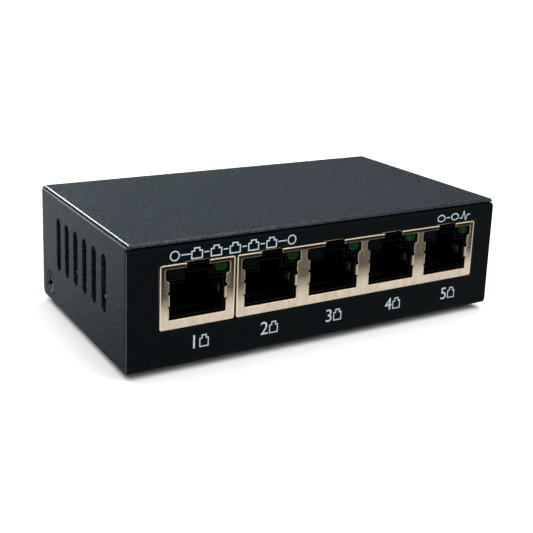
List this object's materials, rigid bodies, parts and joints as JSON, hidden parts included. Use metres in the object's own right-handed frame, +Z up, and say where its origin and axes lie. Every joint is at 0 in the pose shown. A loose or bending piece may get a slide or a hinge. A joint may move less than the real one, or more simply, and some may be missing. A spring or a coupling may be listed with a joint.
{
  "type": "desktop network switch",
  "caption": "Low sheet-metal box with a row of shielded network sockets along the front, vent slots in both sides, a power inlet at the back and rubber feet.",
  "frame": {"origin": "on the table under the middle of the case, level with the undersides of the feet", "axes": "+X along the front panel to the right as seen from in front, +Y from the sockets to the back panel, +Z up"},
  "size_m": [0.093, 0.0516, 0.0277],
  "materials": {
    "powder_coat": "fine-grained black powder coat on sheet steel",
    "zinc_plate": "zinc-plated steel, satin",
    "foot_rubber": "matt",
    "board_laminate": "green solder resist",
    "standoff_brass": "turned",
    "shield_nickel": "satin nickel plate",
    "socket_plastic": "moulded, satin",
    "contact_gold": "gold plate, polished",
    "lamp_green": "tinted, clear-moulded",
    "lamp_clear": "smoke-tinted, clear-moulded",
    "chip_epoxy": "moulded epoxy",
    "can_aluminium": "drawn, satin",
    "ferrite": "sintered, matt"
  },
  "bodies": {
    "case": {"base_tray": "powder_coat", "top_cover": "powder_coat", "case_screw_left": "zinc_plate", "case_screw_right": "zinc_plate", "foot_front_left": "foot_rubber", "standoff_front_left": "standoff_brass", "board_screw_front_left": "zinc_plate", "foot_front_right": "foot_rubber", "standoff_front_right": "standoff_brass", "board_screw_front_right": "zinc_plate", "foot_back_left": "foot_rubber", "standoff_back_left": "standoff_brass", "board_screw_back_left": "zinc_plate", "foot_back_right": "foot_rubber", "standoff_back_right": "standoff_brass", "board_screw_back_right": "zinc_plate", "main_board": "board_laminate", "port1_shield": "shield_nickel", "port1_body": "socket_plastic", "ports2to5_shield": "shield_nickel", "ports2to5_body": "socket_plastic", "port1_insert": "socket_plastic", "port1_lamp_left": "lamp_clear", "port1_lamp_right": "lamp_green", "port1_transformer": "chip_epoxy", "port2_insert": "socket_plastic", "port2_lamp_left": "lamp_clear", "port2_lamp_right": "lamp_green", "port2_transformer": "chip_epoxy", "port3_insert": "socket_plastic", "port3_lamp_left": "lamp_clear", "port3_lamp_right": "lamp_green", "port3_transformer": "chip_epoxy", "port4_insert": "socket_plastic", "port4_lamp_left": "lamp_clear", "port4_lamp_right": "lamp_green", "port4_transformer": "chip_epoxy", "port5_insert": "socket_plastic", "port5_lamp_left": "lamp_clear", "port5_lamp_right": "lamp_green", "port5_transformer": "chip_epoxy", "switch_controller": "chip_epoxy", "controller_heat_sink": "can_aluminium", "settings_memory": "chip_epoxy", "voltage_regulator": "chip_epoxy", "crystal_can": "can_aluminium", "power_inductor": "ferrite", "capacitor_1": "can_aluminium", "capacitor_2": "can_aluminium", "inlet_body": "socket_plastic", "inlet_pin": "zinc_plate"},
    "port1_springs": {"port1_contacts": "contact_gold"},
    "port2_springs": {"port2_contacts": "contact_gold"},
    "port3_springs": {"port3_contacts": "contact_gold"},
    "port4_springs": {"port4_contacts": "contact_gold"},
    "port5_springs": {"port5_contacts": "contact_gold"},
    "inlet_spring": {"inlet_spring_contact": "contact_gold"}
  },
  "joints": [
    {"name": "port1_spring_flex", "type": "hinge", "parent": "case", "child": "port1_springs", "pos_m": [-0.0314, -0.02085, 0.0112], "axis": [1, 0, 0], "range_deg": [-12, 0], "stiffness_Nm_per_rad": 0.05},
    {"name": "port2_spring_flex", "type": "hinge", "parent": "case", "child": "port2_springs", "pos_m": [-0.01452, -0.02085, 0.0112], "axis": [1, 0, 0], "range_deg": [-12, 0], "stiffness_Nm_per_rad": 0.05},
    {"name": "port3_spring_flex", "type": "hinge", "parent": "case", "child": "port3_springs", "pos_m": [0.00122, -0.02085, 0.0112], "axis": [1, 0, 0], "range_deg": [-12, 0], "stiffness_Nm_per_rad": 0.05},
    {"name": "port4_spring_flex", "type": "hinge", "parent": "case", "child": "port4_springs", "pos_m": [0.01698, -0.02085, 0.0112], "axis": [1, 0, 0], "range_deg": [-12, 0], "stiffness_Nm_per_rad": 0.05},
    {"name": "port5_spring_flex", "type": "hinge", "parent": "case", "child": "port5_springs", "pos_m": [0.03272, -0.02085, 0.0112], "axis": [1, 0, 0], "range_deg": [-12, 0], "stiffness_Nm_per_rad": 0.05},
    {"name": "inlet_spring_flex", "type": "hinge", "parent": "case", "child": "inlet_spring", "pos_m": [0.029, 0.01435, 0.011], "axis": [1, 0, 0], "range_deg": [-8, 0], "stiffness_Nm_per_rad": 0.05}
  ]
}
